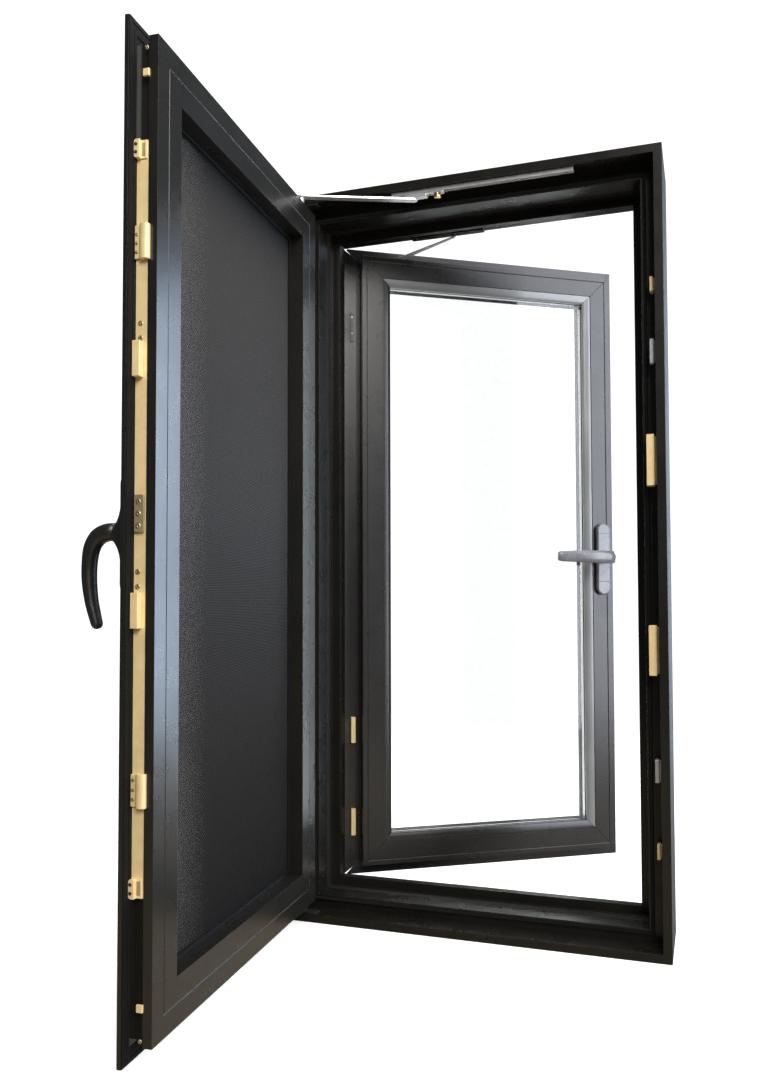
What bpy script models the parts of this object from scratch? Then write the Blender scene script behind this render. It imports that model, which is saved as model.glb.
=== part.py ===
"""Aluminium casement window with a mesh security sash that opens inwards and a
double-glazed sash that opens outwards, both hinged on the left jamb.

World frame: X to the right seen from the room, Y outwards, Z up. The origin is the
centre of the sill's underside. The section of every bar is drawn as (o, d) points in
millimetres: o is the distance inwards from the frame's outer edge, and d is the depth
from the frame's room side. Sash parts are drawn closed, then turned on their hinge.
"""
from math import atan2, cos, pi, radians, sin

import bmesh
import bpy
from mathutils import Vector
from mathutils.geometry import tessellate_polygon

MM = 0.001
GAP = 0.3
MITRE_GAP = 0.2

# Frame
WIDTH = 700.0
HEIGHT = 1400.0
DEPTH = 170.0
WALL = 2.0
FACE = 15.0
LEDGE_O = 31.0
LEDGE_D = 50.0
LEG_O = 40.0
LEG_D = 46.0
GROOVE_O = 36.5
GROOVE_D = 58.0
BREAK_D = (88.0, 108.0)
STOP_O = 57.0
STOP_D = (116.0, 128.0)
OUTER_REBATE_O = 46.0

# Mesh sash
MESH_ANGLE = -86.4
MESH_AXIS = (-325.0, 9.0)
MESH_BODY_O = 45.0
MESH_FLANGE_O = 25.0
MESH_FLANGE_T = 6.0
MESH_INNER_O = 111.0
MESH_THICK = 38.0
MESH_PANEL_D = (8.5, 9.5)

# Hardware groove that runs round the edge of either sash
GROOVE_W = 18.5
GROOVE_DEEP = 7.0

# Glazed sash
GLASS_ANGLE = 34.0
GLASS_AXIS = (-330.0, 187.0)
GLASS_BODY_O = 65.0
GLASS_FLANGE_O = 40.0
GLASS_HINGE_FLANGE_O = 31.0
GLASS_INNER_O = 109.0
GLASS_LIP_O = 128.0
GLASS_LIP_T = 5.5
GLASS_D = (133.2, 179.2)
GLASS_FLANGE_D = 170.4
GLASS_GROOVE_D = 143.2
PANE_O = 113.0
PANE_T = 5.0
PANE_D = 148.5
SPACER_W = 12.0

# Strike blocks on the lock jamb: depth, height over the rebate, length of the lead
KEEPER_Z = {"upper": (807.0, 896.0), "lower": (480.0, 566.0)}
KEEPER_D = (12.0, 34.0)
KEEPER_TIP_O = 33.5
KEEPER_SHOULDER = 4.0
KEEPER_LEAD = 12.0

# Lock stile hardware: (height above the stile's edge), (depth), (height up the window)
ROD_ABOVE = (-3.5, -1.0)
MESH_ROD_D = (7.0, 24.0)
MESH_ROD_Z = (232.0, 1215.0)
ROD_BLOCKS = {"mesh_rod_claw_top": ((-0.7, 7.0), (7.5, 19.0), (1190.0, 1214.0)),
              "mesh_rod_claw_bottom": ((-0.7, 7.0), (7.5, 19.0), (233.0, 256.0)),
              "mesh_lock_block_upper": ((-0.7, 10.0), (8.0, 19.0), (901.0, 948.0)),
              "mesh_lock_block_lower": ((-0.7, 10.0), (8.0, 19.0), (575.0, 621.0))}
EDGE_PLATES = {"mesh_gearbox_cover": ((9.0, 23.0), (699.0, 748.0)),
               "mesh_roller_bracket_upper": ((8.0, 32.0), (1057.0, 1101.0)),
               "mesh_roller_bracket_lower": ((8.0, 32.0), (349.0, 388.0))}
PLATE_T = 3.0
GLASS_ROD_Z = (180.0, 1220.0)

# Butt hinges of the glazed sash
HINGE_Z = {"top": 1220.0, "bottom": 180.0}
HINGE_KNUCKLE_R = 6.0
HINGE_BORE_R = 2.8
HINGE_PIN_R = 2.5

# Handles: height of the spindle, and its distance from the frame's outer edge
HANDLE_Z = 703.0
MESH_HANDLE_O = 78.0
GLASS_HANDLE_O = 88.0
LEVER_LENGTH = 130.0

# Mesh sash stay: pivot on the slider, pivot on the sash, both at (x, d)
STAY_SLIDER = (-103.0, 15.5)
STAY_STUD = (-247.0, 31.0)
STAY_ARM_Z = (1366.5, 1370.0)
STAY_ARM_R = 7.5
STAY_POST_R = 5.5
STAY_POST_Z = (1355.5, 1368.0)
STAY_TRACK_X = (-145.0, 197.0)
STAY_TRACK_W = 12.0
STAY_TRACK_Z = (1378.0, 1381.5, 1384.7)
STAY_SHOE_X = (-16.0, 27.0, 60.0)
STAY_SHOE_W = 14.0
STAY_SHOE_Z = (1370.4, 1374.5, 1377.6)
KNOB_X = 47.0
KNOB_R = 7.3
KNOB_Z = (1366.0, 1374.2)

# Glazed sash stay: pivot on the sash when closed, and the arm's length and rest angle
GLASS_STAY_PIVOT = (-192.7, 158.4)
GLASS_STAY_LENGTH = 159.0
GLASS_STAY_ANGLE = -63.3
GLASS_STAY_R = 6.5
GLASS_STAY_Z = (1345.0, 1348.0)
GLASS_STAY_POST_R = 4.0
GLASS_STAY_POST_Z = (1335.5, 1346.0)
GLASS_TRACK_X = (-150.0, 0.0)
GLASS_TRACK_D = (150.0, 166.0)
GLASS_TRACK_Z = (1349.0, 1353.7)


# ---------------------------------------------------------------- scene and materials

def clear_scene():
    for obj in list(bpy.data.objects):
        bpy.data.objects.remove(obj, do_unlink=True)


def material(name, colour, roughness, metallic):
    mat = bpy.data.materials.new(name)
    mat.use_nodes = True
    shader = mat.node_tree.nodes["Principled BSDF"]
    shader.inputs["Base Color"].default_value = (*colour, 1.0)
    shader.inputs["Roughness"].default_value = roughness
    shader.inputs["Metallic"].default_value = metallic
    mat.diffuse_color = (*colour, 1.0)
    return mat


def world(x, d, z):
    """Window millimetres to world metres."""
    return Vector((x, d - DEPTH / 2, z)) * MM


class Pivot:
    """A joint: an empty on the axis, which the pieces of one moving body hang from."""

    def __init__(self, name, x, d, z, parent=None, angle=0.0):
        self.closed = world(x, d, z)
        self.empty = bpy.data.objects.new(name, None)
        bpy.context.collection.objects.link(self.empty)
        self.empty.empty_display_size = 0.03
        if parent:
            self.empty.parent = parent.empty
            self.empty.location = self.closed - parent.closed
        else:
            self.empty.location = self.closed
        self.empty.rotation_euler = (0.0, 0.0, radians(angle))


def add(name, bm, mat, pivot=None, smooth=False):
    """Turn a closed-pose bmesh into an object that hangs from its pivot."""
    bmesh.ops.recalc_face_normals(bm, faces=bm.faces)
    if pivot:
        bmesh.ops.translate(bm, verts=bm.verts, vec=-pivot.closed)
    mesh = bpy.data.meshes.new(name)
    bm.to_mesh(mesh)
    bm.free()
    if smooth:
        mesh.shade_smooth()
        mesh.set_sharp_from_angle(angle=radians(35))
    obj = bpy.data.objects.new(name, mesh)
    bpy.context.collection.objects.link(obj)
    if pivot:
        obj.parent = pivot.empty
    mesh.materials.append(mat)
    return obj


def combine(target, tool, operation):
    """Boolean the tool into the target, and keep the tool as a hidden helper."""
    tool.hide_render = True
    tool.display_type = "WIRE"
    boolean = target.modifiers.new(tool.name, "BOOLEAN")
    boolean.operation = operation
    boolean.solver = "EXACT"
    boolean.object = tool
    return target


# ---------------------------------------------------------------- solids

def prism(bm, loops, place):
    """Sweep an outline with holes between two ends; place(u, v, end) gives a point."""
    rings = []
    for loop in loops:
        ends = [[bm.verts.new(place(u, v, end)) for u, v in loop] for end in (0, 1)]
        rings.append(ends)
        count = len(loop)
        for i in range(count):
            j = (i + 1) % count
            bm.faces.new((ends[0][i], ends[0][j], ends[1][j], ends[1][i]))
    flat = [[Vector((u, v, 0.0)) for u, v in loop] for loop in loops]
    for end in (0, 1):
        verts = [vert for ring in rings for vert in ring[end]]
        for a, b, c in tessellate_polygon(flat):
            bm.faces.new((verts[a], verts[b], verts[c]))
    return bm


def block(x, d, z):
    """A box between pairs of limits."""
    loop = [(x[0], d[0]), (x[1], d[0]), (x[1], d[1]), (x[0], d[1])]
    return prism(bmesh.new(), [loop], lambda u, v, end: world(u, v, z[end]))


def along_x(loops, x):
    return prism(bmesh.new(), loops, lambda u, v, end: world(x[end], u, v))


def along_d(loops, d):
    return prism(bmesh.new(), loops, lambda u, v, end: world(u, d[end], v))


def along_z(loops, z):
    return prism(bmesh.new(), loops, lambda u, v, end: world(u, v, z[end]))


def circle(cx, cy, radius, sides=24):
    return [(cx + radius * cos(2 * pi * i / sides), cy + radius * sin(2 * pi * i / sides))
            for i in range(sides)]


def slot(a, b, radius, sides=8):
    """Outline of a flat link: two round ends about points a and b."""
    angle = atan2(b[1] - a[1], b[0] - a[0])
    points = []
    for (cx, cy), start in ((b, angle - pi / 2), (a, angle + pi / 2)):
        for i in range(sides + 1):
            t = start + pi * i / sides
            points.append((cx + radius * cos(t), cy + radius * sin(t)))
    return points


def rounded_rect(x, y, radius, sides=4):
    """Outline of a rectangle with round corners."""
    corners = ((x[1] - radius, y[0] + radius, -pi / 2), (x[1] - radius, y[1] - radius, 0.0),
               (x[0] + radius, y[1] - radius, pi / 2), (x[0] + radius, y[0] + radius, pi))
    points = []
    for cx, cy, start in corners:
        for i in range(sides + 1):
            t = start + (pi / 2) * i / sides
            points.append((cx + radius * cos(t), cy + radius * sin(t)))
    return points


def mirrored_z(points):
    return [(u, HEIGHT - v) for u, v in points]


def flip(z):
    return (HEIGHT - z[1], HEIGHT - z[0])


def bar(side, loops, square_o=0.0):
    """One mitred side of a rectangle; loops are (o, d) outlines, holes after the first.

    What lies outside square_o has ends cut square there.
    """
    half = WIDTH / 2

    def place(o, d, end):
        if side in ("hinge", "lock"):
            x = o - half if side == "hinge" else half - o
            reach = max(o, square_o) + MITRE_GAP
            z = reach if end == 0 else HEIGHT - reach
            return world(x, d, z)
        z = o if side == "bottom" else HEIGHT - o
        x = o - half + MITRE_GAP if end == 0 else half - o - MITRE_GAP
        return world(x, d, z)

    return prism(bmesh.new(), loops, place)


def ring(section):
    """A one-piece gasket or strip that runs round all four sides."""
    half = WIDTH / 2
    bm = bmesh.new()
    corners = []
    for sx, sz in ((-1, 0), (1, 0), (1, 1), (-1, 1)):
        loop = []
        for o, d in section:
            z = HEIGHT - o if sz else o
            loop.append(bm.verts.new(world(sx * (half - o), d, z)))
        corners.append(loop)
    count = len(section)
    for c in range(4):
        here, there = corners[c], corners[(c + 1) % 4]
        for i in range(count):
            j = (i + 1) % count
            bm.faces.new((here[i], here[j], there[j], there[i]))
    return bm


def sweep(points, sizes, across, sides=12):
    """A closed bar of rounded section along points; sizes are (width, thickness)."""
    bm = bmesh.new()
    rings = []
    for i, (point, (width, thick)) in enumerate(zip(points, sizes)):
        ahead = Vector(points[min(i + 1, len(points) - 1)])
        behind = Vector(points[max(i - 1, 0)])
        tangent = (ahead - behind).normalized()
        side_axis = Vector(across)
        normal = tangent.cross(side_axis).normalized()
        loop = []
        for k in range(sides):
            t = 2 * pi * (k + 0.5) / sides
            c, s = cos(t), sin(t)
            power = 0.6
            u = width / 2 * abs(c) ** power * (1 if c > 0 else -1)
            v = thick / 2 * abs(s) ** power * (1 if s > 0 else -1)
            x, d, z = Vector(point) + side_axis * u + normal * v
            loop.append(bm.verts.new(world(x, d, z)))
        rings.append(loop)
    for here, there in zip(rings, rings[1:]):
        for k in range(sides):
            j = (k + 1) % sides
            bm.faces.new((here[k], here[j], there[j], there[k]))
    bm.faces.new(rings[0])
    bm.faces.new(rings[-1])
    return bm


# ---------------------------------------------------------------- sections

def frame_sections():
    inner = [(0, 0), (FACE, 0), (FACE, LEDGE_D), (LEDGE_O, LEDGE_D), (LEDGE_O, GROOVE_D),
             (GROOVE_O, GROOVE_D), (GROOVE_O, LEG_D), (LEG_O, LEG_D), (LEG_O, BREAK_D[0]),
             (0, BREAK_D[0])]
    step_d = LEDGE_D + WALL
    deep_d = GROOVE_D + WALL
    far_d = BREAK_D[0] - WALL
    inner_hole = [(WALL, WALL), (FACE - WALL, WALL), (FACE - WALL, step_d),
                  (LEDGE_O - WALL, step_d), (LEDGE_O - WALL, deep_d), (LEG_O - WALL, deep_d),
                  (LEG_O - WALL, far_d), (WALL, far_d)]
    outer = [(0, BREAK_D[1]), (LEG_O, BREAK_D[1]), (LEG_O, STOP_D[0]), (STOP_O, STOP_D[0]),
             (STOP_O, STOP_D[1]), (OUTER_REBATE_O, STOP_D[1]), (OUTER_REBATE_O, DEPTH), (0, DEPTH)]
    near_d = BREAK_D[1] + WALL
    outer_hole = [(WALL, near_d), (LEG_O - WALL, near_d), (LEG_O - WALL, STOP_D[0] + WALL),
                  (STOP_O - WALL, STOP_D[0] + WALL), (STOP_O - WALL, STOP_D[1] - WALL),
                  (OUTER_REBATE_O - WALL, STOP_D[1] - WALL), (OUTER_REBATE_O - WALL, DEPTH - WALL),
                  (WALL, DEPTH - WALL)]
    return [inner, inner_hole], [outer, outer_hole]


def mesh_sash_section():
    body, flange, inner = MESH_BODY_O, MESH_FLANGE_O, MESH_INNER_O
    bottom = body + GROOVE_DEEP
    edge_d = MESH_FLANGE_T + GROOVE_W
    line = (body + inner) / 2 - 2
    outline = [(flange, 0), (inner, 0), (inner, MESH_THICK),
               (line + 1, MESH_THICK), (line, MESH_THICK - 1.2), (line - 1, MESH_THICK),
               (body, MESH_THICK), (body, edge_d), (bottom, edge_d), (bottom, MESH_FLANGE_T),
               (flange, MESH_FLANGE_T)]
    thick = 2.5
    hole = [(bottom + thick, thick), (inner - thick, thick), (inner - thick, MESH_THICK - thick),
            (body + thick, MESH_THICK - thick), (body + thick, edge_d + thick),
            (bottom + thick, edge_d + thick)]
    return [outline, hole]


def glazed_sash_section(flange):
    body, inner, lip = GLASS_BODY_O, GLASS_INNER_O, GLASS_LIP_O
    near, far = GLASS_D
    groove = (GLASS_GROOVE_D, GLASS_GROOVE_D + GROOVE_W)
    bottom = body + GROOVE_DEEP
    lip_d = far - GLASS_LIP_T
    line = body + 10.0
    outline = [(body, near), (line - 1, near), (line, near + 1.0), (line + 1, near),
               (inner, near), (inner, lip_d), (lip, lip_d), (lip, far), (flange, far),
               (flange, GLASS_FLANGE_D), (body, GLASS_FLANGE_D), (body, groove[1]),
               (bottom, groove[1]), (bottom, groove[0]), (body, groove[0])]
    thick = 2.5
    hole = [(bottom + thick, near + thick), (inner - thick, near + thick),
            (inner - thick, far - thick), (bottom + thick, far - thick)]
    return [outline, hole]


# ---------------------------------------------------------------- assemblies

def build_frame(bronze, nylon, rubber):
    inner, outer = frame_sections()
    names = {"top": "head", "bottom": "sill", "hinge": "hinge_jamb", "lock": "lock_jamb"}
    for side, name in names.items():
        add(f"frame_{name}_inner", bar(side, inner), bronze)
        add(f"frame_{name}_outer", bar(side, outer), bronze)
    near, far = BREAK_D[0] + GAP, BREAK_D[1] - GAP
    strip = [(0, near), (LEG_O - 0.5, near), (LEG_O - 0.5, far), (0, far)]
    add("thermal_break", ring(strip), nylon)
    low, high = LEDGE_O + GAP, GROOVE_O - GAP
    seal = [(low, LEG_D - 3.0), (high, LEG_D - 1.0), (high, GROOVE_D - GAP), (low, GROOVE_D - GAP)]
    add("mesh_closing_gasket", ring(seal), rubber)


def build_keepers(zinc):
    """Strike blocks on the lock jamb's rebate, for the mesh sash's lock blocks."""
    face = WIDTH / 2 - FACE - GAP
    shoulder = face - KEEPER_SHOULDER
    tip = WIDTH / 2 - KEEPER_TIP_O
    for name, (low, high) in KEEPER_Z.items():
        outline = [(face, low), (face, high), (shoulder, high), (tip, high - KEEPER_LEAD),
                   (tip, low + KEEPER_LEAD), (shoulder, low)]
        add(f"keeper_{name}", along_d([outline], KEEPER_D), zinc)


def build_mesh_sash(pivot, bronze, steel, rubber):
    section = mesh_sash_section()
    names = {"top": "top_rail", "bottom": "bottom_rail", "hinge": "hinge_stile",
             "lock": "lock_stile"}
    for side, name in names.items():
        add(f"mesh_{name}", bar(side, section), bronze, pivot)
    near, far = MESH_PANEL_D
    start, end = MESH_INNER_O + GAP, MESH_INNER_O + 6.0
    throat = start + 2.2
    spline = [(start, near - 3.5), (end, near - 3.5), (end, near - GAP), (throat, near - GAP),
              (throat, far + GAP), (end, far + GAP), (end, far + 3.5), (start, far + 3.5)]
    add("mesh_spline", ring(spline), rubber, pivot)
    panel_o = throat + GAP
    half = WIDTH / 2 - panel_o
    panel = block((-half, half), MESH_PANEL_D, (panel_o, HEIGHT - panel_o))
    add("security_mesh", panel, steel, pivot)


def build_mesh_pivots(pivot, steel):
    """Corner pivots: a pin plate under the head (and over the sill), an arm on the sash."""
    ax, ad = MESH_AXIS
    pin_r, hole_r, eye_r = 3.0, 3.3, 6.5
    plate_z, arm_z, foot_z = (1382.0, 1384.7), (1376.3, 1381.0), 1348.3
    foot = [(-250.0, foot_z), (-250.0, foot_z + 3.2), (-292.0, foot_z + 3.2),
            (-292.0, arm_z[1]), (ax, arm_z[1]), (ax, arm_z[0]), (-300.0, arm_z[0]),
            (-300.0, foot_z)]
    for name, turn, turn_z in (("top", list, tuple), ("bottom", mirrored_z, flip)):
        plate = add(f"pivot_plate_{name}", block((-333.0, -296.0), (2.0, 20.0), turn_z(plate_z)), steel)
        pin = add(f"cutter_pin_{name}", along_z([circle(ax, ad, pin_r)], turn_z((1375.6, 1383.5))), steel)
        combine(plate, pin, "UNION")
        arm = add(f"mesh_hinge_arm_{name}", along_d([turn(foot)], (7.0, 13.0)), steel, pivot)
        eye = add(f"cutter_eye_{name}", along_z([circle(ax, ad, eye_r)], turn_z(arm_z)), steel, pivot)
        hole = add(f"cutter_hole_{name}", along_z([circle(ax, ad, hole_r)], turn_z((1370.0, 1384.0))),
                   steel, pivot)
        combine(arm, eye, "UNION")
        combine(arm, hole, "DIFFERENCE")


def build_mesh_lock(pivot, rod_pivot, zinc):
    """Drive rod in the lock stile's groove, with the blocks that ride on it."""
    edge = WIDTH / 2 - MESH_BODY_O

    def on_edge(x_out, d, z):
        return block((edge + x_out[0], edge + x_out[1]), d, z)

    add("mesh_drive_rod", on_edge(ROD_ABOVE, MESH_ROD_D, MESH_ROD_Z), zinc, rod_pivot)
    for name, (x_out, d, z) in ROD_BLOCKS.items():
        add(name, on_edge(x_out, d, z), zinc, rod_pivot)
    for name, (d, z) in EDGE_PLATES.items():
        outline = rounded_rect(d, z, 2.5, 3)
        plate = along_x([outline], (edge + GAP, edge + GAP + PLATE_T))
        add(name, plate, zinc, pivot)


def handle_base(x, face_d):
    """Back plate with round ends, on the face at depth face_d, towards the room."""
    half_w, half_h = 15.0, 80.0
    outline = slot((x, HANDLE_Z - half_h + half_w), (x, HANDLE_Z + half_h - half_w), half_w, 8)
    return along_d([outline], (face_d - 12.0, face_d - GAP))


def lever(x, face_d, down, reach):
    """Neck out of the base, then an arm that runs down or towards the hinge side."""
    start_d = face_d - 12.0 - GAP
    bend = 14.0
    way = Vector((0, 0, -1)) if down else Vector((-1, 0, 0))
    across = (1, 0, 0) if down else (0, 0, 1)
    centre = Vector((x, 0, HANDLE_Z))
    points = []
    sizes = []
    for out in (0.0, 8.0, 16.0):
        points.append(centre + Vector((0, start_d - out * (reach - bend) / 24, 0)))
        sizes.append((24.0 - out * 0.35, 24.0 - out * 0.45))
    tip_d = start_d - (reach - bend)
    for i in range(1, 6):
        t = (pi / 2) * i / 5
        offset = way * (bend * (1 - cos(t)))
        points.append(centre + offset + Vector((0, tip_d - bend * sin(t) + bend * 0.3, 0)))
        sizes.append((18.0, 14.0))
    arch = 0.7 * bend
    for i in range(1, 7):
        t = i / 6
        rise = arch * (sin(pi * t) * 0.5 - 0.5 * t)
        along = way * (bend + (LEVER_LENGTH - bend) * t)
        points.append(centre + along + Vector((0, tip_d - arch - rise, 0)))
        sizes.append((18.0 - 3.0 * t, 12.5 - 4.0 * t))
    return sweep([tuple(p) for p in points], sizes, across)


def build_stay(slide_pivot, arm_pivot, steel, brass):
    """Friction stay of the mesh sash: track, slider with its knob, and the arm."""
    sx, sd = STAY_SLIDER
    low, roof, high = STAY_TRACK_Z
    out, throat = STAY_TRACK_W / 2, STAY_TRACK_W / 4
    channel = [(sd - out, low), (sd - throat, low), (sd - throat, roof), (sd + throat, roof),
               (sd + throat, low), (sd + out, low), (sd + out, high), (sd - out, high)]
    add("stay_track", along_x([channel], STAY_TRACK_X), steel)
    back, step, nose = (sx + part for part in STAY_SHOE_X)
    low, mid, high = STAY_SHOE_Z
    shoe = [(back, low), (step, low), (step, mid), (nose, mid), (nose, high), (back, high)]
    add("stay_slider", along_d([shoe], (sd - STAY_SHOE_W / 2, sd + STAY_SHOE_W / 2)),
        steel, slide_pivot)
    knob = along_z([circle(sx + KNOB_X, sd, KNOB_R)], KNOB_Z)
    add("stay_friction_knob", knob, brass, slide_pivot, smooth=True)
    # The arm is drawn where it lies at rest, with its post over the sash's pivot.
    turn = radians(MESH_ANGLE)
    rx, rd = STAY_STUD[0] - MESH_AXIS[0], STAY_STUD[1] - MESH_AXIS[1]
    stud = (MESH_AXIS[0] + rx * cos(turn) - rd * sin(turn),
            MESH_AXIS[1] + rx * sin(turn) + rd * cos(turn))
    link = along_z([slot(stud, STAY_SLIDER, STAY_ARM_R)], STAY_ARM_Z)
    arm = add("stay_arm", link, steel, arm_pivot)
    post = along_z([circle(*stud, STAY_POST_R)], STAY_POST_Z)
    combine(arm, add("cutter_stay_post", post, steel, arm_pivot), "UNION")


def build_glazed_sash(pivot, bronze, glass, alloy, rubber):
    section = glazed_sash_section(GLASS_FLANGE_O)
    hinge_section = glazed_sash_section(GLASS_HINGE_FLANGE_O)
    start = GLASS_INNER_O + GAP
    near, lip = GLASS_D[0] + 1.5, GLASS_LIP_O
    bead = [(start, near), (start + 11, near), (lip - 1, near + 5), (lip - 1, near + 10.5),
            (start, near + 10.5)]
    names = {"top": "top_rail", "bottom": "bottom_rail", "hinge": "hinge_stile",
             "lock": "lock_stile"}
    for side, name in names.items():
        loops = hinge_section if side == "hinge" else section
        add(f"glazed_{name}", bar(side, loops, GLASS_FLANGE_O), bronze, pivot)
        add(f"glazing_bead_{side}", bar(side, [bead]), bronze, pivot)
    seal_near, seal_far = near + 10.8, PANE_D - GAP
    seal = [(start + 8, seal_near), (lip - 0.5, seal_near), (lip - 0.5, seal_far), (start + 8, seal_far)]
    add("glazing_gasket", ring(seal), rubber, pivot)
    half = WIDTH / 2 - PANE_O
    tall = (PANE_O, HEIGHT - PANE_O)
    inner_d = (PANE_D, PANE_D + PANE_T)
    spacer_d = (inner_d[1] + GAP, inner_d[1] + GAP + SPACER_W)
    outer_d = (spacer_d[1] + GAP, spacer_d[1] + GAP + PANE_T)
    add("glass_pane_inner", block((-half, half), inner_d, tall), glass, pivot)
    add("glass_pane_outer", block((-half, half), outer_d, tall), glass, pivot)
    spacer = [(PANE_O, spacer_d[0]), (lip - 3, spacer_d[0]), (lip - 3, spacer_d[1]),
              (PANE_O, spacer_d[1])]
    add("glass_spacer", ring(spacer), alloy, pivot)


def build_glazed_lock(rod_pivot, zinc):
    edge = WIDTH / 2 - GLASS_BODY_O
    side_gap = 0.7
    across = (GLASS_GROOVE_D + side_gap, GLASS_GROOVE_D + GROOVE_W - side_gap)
    rod = block((edge + ROD_ABOVE[0], edge + ROD_ABOVE[1]), across, GLASS_ROD_Z)
    add("glazed_drive_rod", rod, zinc, rod_pivot)


def build_glazed_hinges(pivot, bronze, steel):
    """Butt hinges on the outside face, each with half its knuckle on either leaf."""
    ax, ad = GLASS_AXIS
    leaf_t, web_t, leaf_half = 2.7, 3.5, 45.0
    web_in = HINGE_BORE_R + 0.2
    frame_edge, sash_edge = -348.0, -282.0
    frame_d, sash_d = DEPTH + GAP, GLASS_D[1] + GAP
    for name, z in HINGE_Z.items():
        lower, upper = (z - leaf_half, z - GAP / 2), (z + GAP / 2, z + leaf_half)
        knuckle = [circle(ax, ad, HINGE_KNUCKLE_R), circle(ax, ad, HINGE_BORE_R)]
        left = ax - web_in
        fixed_plate = [(frame_edge, frame_d), (left, frame_d), (left, ad), (left - web_t, ad),
                       (left - web_t, frame_d + leaf_t), (frame_edge, frame_d + leaf_t)]
        fixed = add(f"glazed_hinge_{name}_frame_leaf", along_z([fixed_plate], lower), bronze)
        barrel = add(f"cutter_fixed_{name}", along_z(knuckle, lower), bronze)
        combine(fixed, barrel, "UNION")
        right = ax + web_in
        moving_plate = [(right, sash_d), (sash_edge, sash_d), (sash_edge, sash_d + leaf_t),
                        (right + web_t, sash_d + leaf_t), (right + web_t, ad), (right, ad)]
        moving = add(f"glazed_hinge_{name}_sash_leaf", along_z([moving_plate], upper), bronze, pivot)
        barrel = add(f"cutter_moving_{name}", along_z(knuckle, upper), bronze, pivot)
        combine(moving, barrel, "UNION")
        ends = (z - leaf_half - 1.0, z + leaf_half + 1.0)
        pin = along_z([circle(ax, ad, HINGE_PIN_R, 20)], ends)
        add(f"glazed_hinge_{name}_pin", pin, steel)


def build_glazed_stay(arm_pivot, steel):
    """Limiter arm from the glazed sash's top to a short track under the head."""
    px, pd = GLASS_STAY_PIVOT
    angle = radians(GLASS_STAY_ANGLE)
    end = (px + GLASS_STAY_LENGTH * cos(angle), pd + GLASS_STAY_LENGTH * sin(angle))
    link = along_z([slot((px, pd), end, GLASS_STAY_R)], GLASS_STAY_Z)
    arm = add("glazed_stay_arm", link, steel, arm_pivot)
    post = along_z([circle(px, pd, GLASS_STAY_POST_R)], GLASS_STAY_POST_Z)
    combine(arm, add("cutter_glazed_stay_post", post, steel, arm_pivot), "UNION")
    add("glazed_stay_track", block(GLASS_TRACK_X, GLASS_TRACK_D, GLASS_TRACK_Z), steel)


def main():
    clear_scene()
    bronze = material("satin_bronze_black", (0.045, 0.040, 0.035), 0.42, 0.6)
    black = material("black_handle", (0.012, 0.012, 0.013), 0.38, 0.5)
    grey = material("silver_grey_handle", (0.42, 0.43, 0.44), 0.35, 0.8)
    nylon = material("glass_filled_nylon", (0.02, 0.02, 0.02), 0.7, 0.0)
    rubber = material("epdm_rubber", (0.015, 0.015, 0.015), 0.8, 0.0)
    zinc = material("yellow_zinc", (0.70, 0.60, 0.40), 0.35, 0.9)
    steel = material("stainless_steel", (0.62, 0.62, 0.60), 0.3, 1.0)
    mesh_steel = material("black_mesh", (0.05, 0.05, 0.05), 0.5, 0.5)
    brass = material("brass", (0.75, 0.55, 0.22), 0.3, 1.0)
    alloy = material("spacer_aluminium", (0.70, 0.71, 0.72), 0.35, 1.0)
    glass = material("clear_glass", (0.85, 0.90, 0.88), 0.05, 0.0)

    build_frame(bronze, nylon, rubber)
    build_keepers(zinc)

    mesh_pivot = Pivot("mesh_sash_axis", *MESH_AXIS, 0.0, angle=MESH_ANGLE)
    build_mesh_sash(mesh_pivot, bronze, mesh_steel, rubber)
    build_mesh_pivots(mesh_pivot, steel)
    mesh_rod = Pivot("mesh_rod_axis", WIDTH / 2 - MESH_BODY_O, 15.0, HANDLE_Z, mesh_pivot)
    build_mesh_lock(mesh_pivot, mesh_rod, zinc)
    handle_x = WIDTH / 2 - MESH_HANDLE_O
    add("mesh_handle_base", handle_base(handle_x, 0.0), black, mesh_pivot)
    mesh_handle = Pivot("mesh_handle_axis", handle_x, 0.0, HANDLE_Z, mesh_pivot)
    add("mesh_handle_lever", lever(handle_x, 0.0, True, 66.0), black, mesh_handle, smooth=True)

    slide = Pivot("stay_slider_axis", *STAY_SLIDER, 1374.0)
    arm = Pivot("stay_arm_axis", *STAY_SLIDER, 1368.0, slide)
    build_stay(slide, arm, steel, brass)

    glazed_pivot = Pivot("glazed_sash_axis", *GLASS_AXIS, 0.0, angle=GLASS_ANGLE)
    build_glazed_sash(glazed_pivot, bronze, glass, alloy, rubber)
    rod_d = GLASS_GROOVE_D + GROOVE_W / 2
    glazed_rod = Pivot("glazed_rod_axis", WIDTH / 2 - GLASS_BODY_O, rod_d, HANDLE_Z, glazed_pivot)
    build_glazed_lock(glazed_rod, zinc)
    handle_x = WIDTH / 2 - GLASS_HANDLE_O
    face_d = GLASS_D[0]
    add("glazed_handle_base", handle_base(handle_x, face_d), grey, glazed_pivot)
    glazed_handle = Pivot("glazed_handle_axis", handle_x, face_d, HANDLE_Z, glazed_pivot)
    add("glazed_handle_lever", lever(handle_x, face_d, False, 44.0), grey, glazed_handle, smooth=True)
    build_glazed_hinges(glazed_pivot, bronze, steel)
    stay_pivot = Pivot("glazed_stay_axis", *GLASS_STAY_PIVOT, GLASS_STAY_Z[0], glazed_pivot)
    build_glazed_stay(stay_pivot, steel)


main()
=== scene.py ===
from math import atan2, cos, pi, radians, sin, tau

import bmesh
import bpy
from mathutils import Matrix, Vector


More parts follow.
